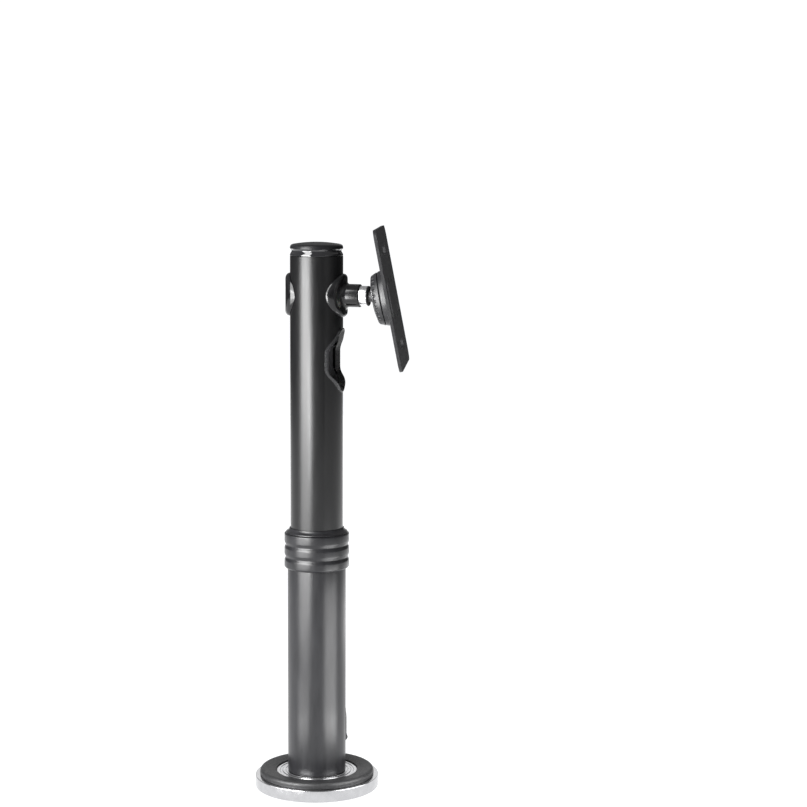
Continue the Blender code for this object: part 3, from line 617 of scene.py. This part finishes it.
lower_wall, upper_wall = 1.5, 2
lower_radius, lower_low, lower_high = reach("lower_tube")
lower_tube = drawn_tube("lower_tube_drawn", lower_radius, lower_low, lower_high, lower_wall)
upper_radius, upper_low, upper_high = reach("upper_tube")
upper_tube = drawn_tube("upper_tube_drawn", upper_radius, upper_low, upper_high, upper_wall)
print("tubes", lower_radius, upper_radius)

# %% [markdown]
# ## The cable ports
# Each port is a moulded frame that clips into the tube. Its outline is a plane with four cut and blunted
# corners. It has a rounded rim outside, a lining through the wall, and a lip at the bottom that lets a cable
# leave gently. It is easiest to make it flat, and then to lay it on the tube by moving each point back to the
# tube's curve.

# %% Helpers for the ports
def swell(value, centre, reach_each_way):
    """A smooth hump of height one."""
    off = abs(value - centre) / reach_each_way
    return cos(off * pi / 2) ** 2 if off < 1 else 0.0


def flat_outline(name, half_width, half_side, half_length, half_tip, inset=0.0):
    """A plane with its four corners cut to the port's outline; X is across and Y is up."""
    cut_across, cut_up = half_width - half_tip, half_length - half_side
    put_down()
    bpy.ops.mesh.primitive_plane_add(size=2, location=(0, 0, 0))
    piece = bpy.context.object
    piece.name = name
    bpy.ops.object.mode_set(mode="EDIT")
    bpy.ops.mesh.select_mode(type="VERT")
    bpy.ops.mesh.select_all(action="SELECT")
    bpy.ops.transform.resize(value=(half_width / cut_across, half_length / cut_up, 1))
    bpy.ops.mesh.bevel(offset=1, segments=1, affect="VERTICES")
    bpy.ops.mesh.select_all(action="SELECT")
    bpy.ops.transform.resize(value=(cut_across * MM, cut_up * MM, 1))
    bpy.ops.mesh.bevel(offset=4.2 * MM, segments=7, affect="VERTICES")
    if inset:
        bpy.ops.mesh.select_all(action="SELECT")
        bpy.ops.mesh.inset(thickness=inset * MM, depth=0)
        bpy.ops.mesh.select_all(action="INVERT")
        bpy.ops.mesh.delete(type="FACE")
    return piece


def cut_sides(piece, shortest, cuts):
    """Divide the long sides of a flat outline so that they can follow the tube."""
    bpy.ops.mesh.select_mode(type="EDGE")
    bpy.ops.mesh.select_all(action="DESELECT")
    mesh = bmesh.from_edit_mesh(piece.data)
    for edge in mesh.edges:
        edge.select_set(edge.calc_length() > shortest * MM)
    bmesh.update_edit_mesh(piece.data)
    bpy.ops.mesh.subdivide(number_cuts=cuts)
    bpy.ops.mesh.select_mode(type="FACE")


def round_edges(piece, width, segments, angle=40):
    """Round every edge sharper than an angle."""
    pick_up(piece)
    step = piece.modifiers.new("rounding", "BEVEL")
    step.width = width * MM
    step.segments = segments
    step.limit_method = "ANGLE"
    step.angle_limit = radians(angle)
    step.use_clamp_overlap = True
    bpy.ops.object.modifier_apply(modifier=step.name)
    bpy.ops.object.shade_smooth_by_angle(angle=SHARP)


def lay_on_tube(piece, tube_radius, height, turn, lip, half_length):
    """Move each point of a flat frame back to the tube's curve, and swell the lip and the hood."""
    crest, still, rise = 0.9, 0.3, 0.6
    for point in piece.data.vertices:
        across, up, depth = point.co.x / MM, point.co.y / MM, point.co.z / MM + crest
        if depth > still:
            hump = (lip - crest) * swell(up, -0.68 * half_length, 0.34 * half_length)
            hump += lip / 4 * swell(up, 0.9 * half_length, 0.2 * half_length)
            depth += hump * (depth - still) / rise
        out = sqrt((tube_radius + depth) ** 2 - across**2)
        point.co = Euler((0, 0, turn)).to_matrix() @ Vector((out * MM, across * MM, (height + up) * MM))


def cable_port(name, sizes, tube_radius, height, turn, lip):
    """A port frame with a narrow crest and a funnel inside it, made flat and laid on its tube."""
    crest_height = 0.85
    port = flat_outline(name, *sizes)
    cut_sides(port, shortest=3.5, cuts=11)
    bpy.ops.mesh.select_all(action="SELECT")
    bpy.ops.transform.translate(value=(0, 0, -crest_height * MM))
    # Up to the crest, across it, down into the funnel and on through the wall.
    for inwards, upwards in ((0.55, crest_height), (0.85, 0), (0.9, -1.2), (1.8, -3.2)):
        bpy.ops.mesh.inset(thickness=inwards * MM, depth=upwards * MM)
    bpy.ops.mesh.delete(type="FACE")
    bpy.ops.mesh.select_all(action="SELECT")
    bpy.ops.mesh.extrude_region_move(TRANSFORM_OT_translate={"value": (0, 0, -0.3 * MM)})
    bpy.ops.object.mode_set(mode="OBJECT")
    finish_shape(port)
    round_edges(port, width=0.2, segments=2, angle=25)
    lay_on_tube(port, tube_radius, height, turn, lip, sizes[2])
    return port


def port_cutter(name, sizes, tube_radius, height, turn):
    """The straight prism that opens the tube wall for a port."""
    cutter = flat_outline(name, *sizes, inset=1.9)
    bpy.ops.mesh.select_all(action="SELECT")
    bpy.ops.mesh.extrude_region_move(TRANSFORM_OT_translate={"value": (0, 0, tube_radius * 1.4 * MM)})
    bpy.ops.object.mode_set(mode="OBJECT")
    finish_shape(cutter)
    for point in cutter.data.vertices:
        across, up, out = point.co
        turned_out = Euler((0, 0, turn)).to_matrix() @ Vector((out + tube_radius * 0.2 * MM, across, up))
        point.co = turned_out + Vector((0, 0, height * MM))
    finish_shape(cutter)
    return cutter


def fit_port(tube, where, node, body, lip, *seat):
    """Make a port's frame, open its tube for it and hand the frame over."""
    port = cable_port(where + "_port_frame", *seat, lip)
    cut_with(tube, port_cutter(where + "_port_hole", *seat))
    hand_over(port, node, body, moulded_black)


print("port helpers ready")

# %% Cable ports
arm_drop, port_drop, lower_port_rise = 33.1, 54.9, 37.7
arm_height = upper_high - arm_drop
port_height = arm_height - port_drop
# Sizes of a port: half its width, half its straight side, half its length and half its blunt tip.
upper_sizes = (18.5, 11.0, 27.6, 5.0)
lower_sizes = (12.5, 9.0, 17.0, 5.0)
upper_seat = (upper_sizes, upper_radius, port_height, 0.0)
lower_seat = (lower_sizes, lower_radius, lower_low + lower_port_rise, radians(48))
fit_port(upper_tube, "upper", "upper_cable_port", "post", 2.2, *upper_seat)
fit_port(lower_tube, "lower", "lower_cable_port", "base", 2.4, *lower_seat)

# %% [markdown]
# ## Holes for the arm
# The stud of the arm crosses the upper tube: a round hole on the arm's side and a larger one for the plug.

# %% Arm holes and hand the tubes over
along_arm = Euler((0, pi / 2, 0))
stud_hole, plug_hole = 6.3, 7.3
for name, radius, side in (("stud_hole", stud_hole, 1), ("plug_hole", plug_hole, -1)):
    drill = turned(name, [(0, side * 40), (radius, side * 40), (radius, side * 5), (0, side * 5)], steps=48)
    cut_with(upper_tube, set_on(drill, (0, 0, arm_height * MM), along_arm))
# The upper tube wears the anodising whose darker colour is partly painted shade.
hand_over(upper_tube, "upper_tube", "post", upper_anodised)
hand_over(lower_tube, "lower_tube", "base", lower_anodised)
# Inside both tubes the bore gets the grey that is painted light.
for tube, radius in ((upper_tube, upper_radius), (lower_tube, lower_radius)):
    second_finish(tube, bore_grey_painted_light, lambda middle: hypot(middle.x, middle.y) < radius - 1.2)

# %% [markdown]
# ## The lock collar
# A hand turns this ring to free or lock the height, so it has three smooth ribs with two finger grooves
# between.

# %% Lock collar
collar_radius, collar_low, collar_high = reach("lock_collar")
collar_bore = lower_radius + 0.3
collar_middle = (collar_low + collar_high) / 2
groove_off, groove_half, groove_depth = 5.4, 2.3, 1.0
profile = [(collar_radius, collar_high, 1.0)]
for groove in (collar_middle + groove_off, collar_middle - groove_off):
    profile += [
        (collar_radius, groove + groove_half, 1.1),
        (collar_radius - groove_depth, groove + 0.6, 0.5),
        (collar_radius - groove_depth, groove - 0.6, 0.5),
        (collar_radius, groove - groove_half, 1.1),
    ]
profile += [
    (collar_radius, collar_low + 1.4, 0.7),
    (collar_radius - 1.6, collar_low, 0.3),
    (collar_bore, collar_low),
    (collar_bore, lower_high + 3.4),
    (upper_radius + 1.9, collar_high, 0.3),
]
lock = turned("lock_collar_ribbed", profile, closed=True, steps=LARGE_ROUND)
hand_over(lock, "lock_collar", "collar", collar_black)

# %% [markdown]
# ## The wiper and the cap
# The wiper is a short cone that keeps dust out of the lock, with the collar's finish. The cap is a moulding
# that plugs the top of the tube: a skirt, a soft groove, a thin lip and a shallow dome.

# %% Wiper and cap
wiper_radius, wiper_low, wiper_high = reach("wiper_ring")
wiper = turned(
    "wiper_ring_moulded",
    [
        (upper_radius + 0.8, wiper_high, 0.2),
        (upper_radius + 1.5, wiper_high - 1.9, 1.2),
        (wiper_radius, wiper_low + 0.8, 0.5),
        (wiper_radius, wiper_low, 0.2),
        (upper_radius + 0.3, wiper_low),
        (upper_radius + 0.3, wiper_high),
    ],
    closed=True,
    steps=LARGE_ROUND,
)
hand_over(wiper, "wiper_ring", "collar", collar_black)

cap_radius, cap_low, cap_top = reach("top_cap")
seam = upper_high + 0.3
cap_groove, plug_radius, plug_bore = cap_radius - 1.5, upper_radius - 2.3, upper_radius - 4.3
dome = [(cap_radius * k / 10, cap_top - 1.8 * (k / 9) ** 2) for k in (0, 1.5, 3, 4.5, 6, 7.2, 8.2, 9)]
cap = turned(
    "top_cap_polished",
    dome
    + [
        (cap_radius - 0.5, cap_top - 2.6, 0.9),
        (cap_radius, seam + 7.2, 1.0),
        (cap_radius, seam + 6.4, 0.5),
        (cap_groove, seam + 4.6, 0.6),
        (cap_groove, seam + 3.6, 0.7),
        (cap_radius, seam + 1.2, 0.9),
        (cap_radius, seam, 0.3),
        (plug_radius, seam),
        (plug_radius, cap_low, 0.8),
        (plug_bore, cap_low),
        (plug_bore, seam + 1.8),
        (0, seam + 1.8),
    ],
    steps=LARGE_ROUND,
)
hand_over(cap, "top_cap", "post", gloss_black)
second_finish(cap, cap_satin, lambda middle: middle.z > seam + 5.9)

# %% [markdown]
# ## The saddle flanges
# The arm is held by a round flange that follows the tube, with a matching flange on the far side. Both have
# soft outer edges. They are turned flat, like a coin, and then every point is moved back on to the tube's
# curve. The sleeve on the arm's flange has to end square, so the move fades out along it.

# %% Arm boss and blank plug
seat = upper_radius + 0.3


def saddled(piece, side, flat_from, flat_to=99):
    """Bend a flat turned flange on to the tube; past flat_from it fades to square at flat_to."""
    for point in piece.data.vertices:
        across, up, depth = point.co.y / MM, -point.co.x / MM, point.co.z / MM
        curve_at = min(max(depth, 0.0), flat_from)
        drop = sqrt((seat + curve_at) ** 2 - across**2) - (seat + curve_at)
        if depth > flat_from:
            drop *= max(0.0, 1 - (depth - flat_from) / (flat_to - flat_from))
        if depth < 0:
            drop *= max(0.0, 1 + depth / 2.0)
        point.co = Vector((side * (seat + depth + drop) * MM, across * MM, (arm_height + up) * MM))
    finish_shape(piece)
    return piece


flange_radius, flange_depth, sleeve_radius, sleeve_length = 18.4, 3.6, 9.8, 12.2
face_rings = [(flange_radius * k, flange_depth) for k in (0.3, 0.45, 0.6, 0.72)]
back_rings = [(flange_radius * k, 0) for k in (0.92, 0.8, 0.66, 0.52)]
boss = turned(
    "arm_boss_cast",
    [
        (stud_hole, flange_depth + sleeve_length, 0.2),
        (sleeve_radius, flange_depth + sleeve_length, 0.45),
        (sleeve_radius, flange_depth, 3.0),
        (flange_radius * 0.72, flange_depth),
        (flange_radius, flange_depth, 3.0),
        (flange_radius, 0, 0.2),
    ]
    + back_rings
    + [(stud_hole, 0)],
    closed=True,
    steps=LARGE_ROUND,
)
saddled(boss, 1, flange_depth, flange_depth + sleeve_length)
hand_over(boss, "arm_boss", "post", arm_black)
blank = turned(
    "blank_plug_cast",
    [(0, flange_depth)]
    + face_rings
    + [(flange_radius, flange_depth, 3.0), (flange_radius, 0, 0.2)]
    + back_rings
    + [(7.0, 0), (7.0, -9.7), (4.3, -9.7), (4.3, 0), (0, 0)],
    steps=LARGE_ROUND,
)
saddled(blank, -1, flange_depth)
hand_over(blank, "blank_plug", "post", arm_black)

# %% [markdown]
# ## The ball stud and its seal
# One bright turned piece: a rod through the tube, a polished shoulder that shows between sleeve and head, a
# neck and a part ball that is hollow in front, where a pressure pad sits. A thin soft ring keeps dust off the
# neck.

# %% Ball stud and seal
ball_reach, ball_radius, hollow_radius = 29.4, 14.5, 9.5
shoulder_radius, shoulder_length, rod_radius, tail_radius = 8.4, 6.5, 6.0, 4.0
sleeve_end = seat + flange_depth + sleeve_length
ball = sleeve_end + ball_reach
shoulder = sleeve_end + 0.3


def ball_side(radius, angles):
    """Corners on a circle about the ball's centre, in degrees from the arm."""
    return [(radius * sin(radians(a)), ball - radius * cos(radians(a))) for a in angles]


stud = turned(
    "ball_stud_plated",
    ball_side(hollow_radius, (0, 12, 24, 36, 46))
    + ball_side(ball_radius, (46, 40, 34, 28, 20.2))
    + [
        (5.0, shoulder + shoulder_length, 0.6),
        (shoulder_radius, shoulder + shoulder_length, 0.35),
        (shoulder_radius, shoulder, 0.35),
        (rod_radius, shoulder),
        (rod_radius, upper_radius - upper_wall),
        (tail_radius, upper_radius - upper_wall),
        (tail_radius, -upper_radius, 0.3),
        (0, -upper_radius),
    ],
)
arm_place = (0, 0, arm_height * MM)
hand_over(set_on(stud, arm_place, along_arm), "ball_stud", "post", chrome)
second_finish(stud, ball_grey, lambda middle: middle.x > shoulder + 6.6)
seal_start, seal_thickness = shoulder + 6.8, 0.55
seal = turned(
    "stud_seal_soft",
    [
        (8.3, seal_start + seal_thickness, 0.15),
        (8.6, seal_start, 0.2),
        (5.3, seal_start),
        (5.3, seal_start + seal_thickness),
    ],
    closed=True,
)
hand_over(set_on(seal, arm_place, along_arm), "stud_seal", "post", rubber)

# %% [markdown]
# ## The head
# The drum bolts to the display plate, and the tension ring screws into the drum and clamps the part ball. The
# seam between the two reads as a dark line because both edges are broken. Small scallops round the ring give
# grip. Both are turned about the ball's centre and then leaned back and swung to the head's rest attitude.

# %% Head drum and tension ring
ball_place = Vector((ball * MM, 0, arm_height * MM))
lean, swing = radians(11.0), radians(11.5)
head_turn = Euler((0, pi / 2 - lean, swing))
drum_front, drum_back, drum_bore = -3.7, -10.4, 19.2
drum = turned(
    "head_drum_cast",
    [
        (24.4, drum_front, 0.7),
        (22.8, drum_back, 0.9),
        (drum_bore, drum_back),
        (drum_bore, drum_front),
    ],
    closed=True,
    steps=LARGE_ROUND,
)
hand_over(set_on(drum, ball_place, head_turn), "head_drum", "head", head_black)

liner_radius, thread_radius = 17.3, 18.9
liner_seat = [(liner_radius * sin(radians(a)), -liner_radius * cos(radians(a))) for a in (43, 46, 49, 52, 55)]
ring = turned(
    "tension_ring_scalloped",
    [
        (liner_radius, -4.9),
        (thread_radius, -4.9),
        (thread_radius, -10.7),
        (22.8, -10.7, 0.9),
        (20.4, -16.2, 1.3),
        (11.8, -18.1, 0.4),
    ]
    + liner_seat
    + [(liner_radius, -9.9)],
    closed=True,
    steps=LARGE_ROUND,
)
scallop_count, scallop_radius, scallop_circle = 28, 1.35, 20.7
scallop_side = [(0, -20), (scallop_radius, -20), (scallop_radius, -13.6, 0.9), (0, -13.6)]
for number in range(scallop_count):
    scallop = turned("scallop", scallop_side, steps=16)
    cut_with(ring, set_on(scallop, on_circle(scallop_circle, 2 * pi * number / scallop_count)))
hand_over(set_on(ring, ball_place, head_turn), "tension_ring", "ring", head_black)

# %% [markdown]
# ## The display plate
# A square steel plate with two square hole patterns, 75 and 100 mm, and four windows that save weight. It is
# cut from a plane, given its thickness and drilled, and its edges are broken so that they catch a line of
# light.

# %% Display plate
def flat_bar(name, half_width, half_height, corner, low, high, place=(0, 0)):
    """A plate with round corners between two heights, in millimetres."""
    put_down()
    bpy.ops.mesh.primitive_plane_add(size=2, location=(place[0] * MM, place[1] * MM, low * MM))
    piece = bpy.context.object
    piece.name = name
    piece.scale = (half_width * MM, half_height * MM, 1)
    bpy.ops.object.transform_apply()
    bpy.ops.object.mode_set(mode="EDIT")
    bpy.ops.mesh.select_mode(type="VERT")
    bpy.ops.mesh.select_all(action="SELECT")
    bpy.ops.mesh.bevel(offset=corner * MM, segments=8, affect="VERTICES")
    bpy.ops.mesh.select_all(action="SELECT")
    bpy.ops.mesh.extrude_region_move(TRANSFORM_OT_translate={"value": (0, 0, (high - low) * MM)})
    finish_shape(piece)
    return piece


plate_half, plate_corner, plate_back, plate_front = 59, 9, -3.4, -0.9
plate_sizes = (plate_half, plate_half, plate_corner, plate_back, plate_front)
display_plate = flat_bar("display_plate_pressed", *plate_sizes)
bolt_radius = 2.3
for pattern in (37.5, 50):
    for side_x, side_y in ((1, 1), (1, -1), (-1, 1), (-1, -1)):
        drill = turned("drill", [(0, 2), (bolt_radius, 2), (bolt_radius, -6), (0, -6)], steps=32)
        cut_with(display_plate, set_on(drill, (side_x * pattern * MM, side_y * pattern * MM, 0)))
window_off, window_short, window_long, window_corner = 40, 4, 15, 3.5
for side_x, side_y in ((1, 0), (-1, 0), (0, 1), (0, -1)):
    half_width, half_height = (window_short, window_long) if side_x else (window_long, window_short)
    place = (side_x * window_off, side_y * window_off)
    cut_with(display_plate, flat_bar("window", half_width, half_height, window_corner, -6, 2, place))
screw_circle = 21.4
screw_places = [radians(45 + 90 * k) for k in range(4)]
for angle in screw_places:
    sink = turned("sink", [(0, 1), (2.7, 1), (2.7, -1.2), (1.5, -2.4), (1.5, -7), (0, -7)], steps=32)
    cut_with(display_plate, set_on(sink, on_circle(screw_circle, angle)))
round_edges(display_plate, width=0.25, segments=2)
hand_over(set_on(display_plate, ball_place, head_turn), "display_plate", "head", plate_black)

# %% [markdown]
# ## The plate screws
# Four small countersunk screws with a hexagon socket. One is made, and the four in place are copies of it,
# each with its own mesh.

# %% Plate screws
first_screw = turned(
    "plate_screw_made",
    [(0, -1.2), (2.4, -1.2, 0.15), (2.4, -1.5), (1.2, -2.4), (1.2, -6.2, 0.2), (0, -6.2)],
    steps=32,
)
cut_with(first_screw, turned("socket", [(0, 1), (1.05, 1), (1.05, -2.3), (0, -2.3)], steps=6))
for number, angle in enumerate(screw_places, 1):
    screw = first_screw.copy()
    screw.data = first_screw.data.copy()
    screw.name = "plate_screw_with_socket_" + str(number)
    bpy.context.scene.collection.objects.link(screw)
    set_on(screw, on_circle(screw_circle, angle))
    set_on(screw, ball_place, head_turn)
    hand_over(screw, "plate_screw_" + str(number), "head", steel)
bpy.data.objects.remove(first_screw)

# %% [markdown]
# ## Pieces that keep their engineered shape
# What sits inside the tubes and the head is plain and right as it is, so it only gets its finish.

# %% Finish the inner pieces
inner_finishes = {
    "desk_pad": rubber,
    "tube_foot": plain_aluminium,
    "foot_screw_1": steel,
    "foot_screw_2": steel,
    "foot_screw_3": steel,
    "clamp_collet": nylon,
    "glide_bush": nylon,
    "ball_liner": nylon,
    "pressure_pad": nylon,
    "spacer_sleeve": steel,
    "wave_washer": steel,
}
for node, finish in inner_finishes.items():
    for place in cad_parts[node].material_slots:
        place.material = finish
print("inner pieces finished", len(inner_finishes))

# %% [markdown]
# ## The end
# The dressed mount has to be as large as the engineered one. The last step only lets go of every piece.

# %% Let go of everything
put_down()
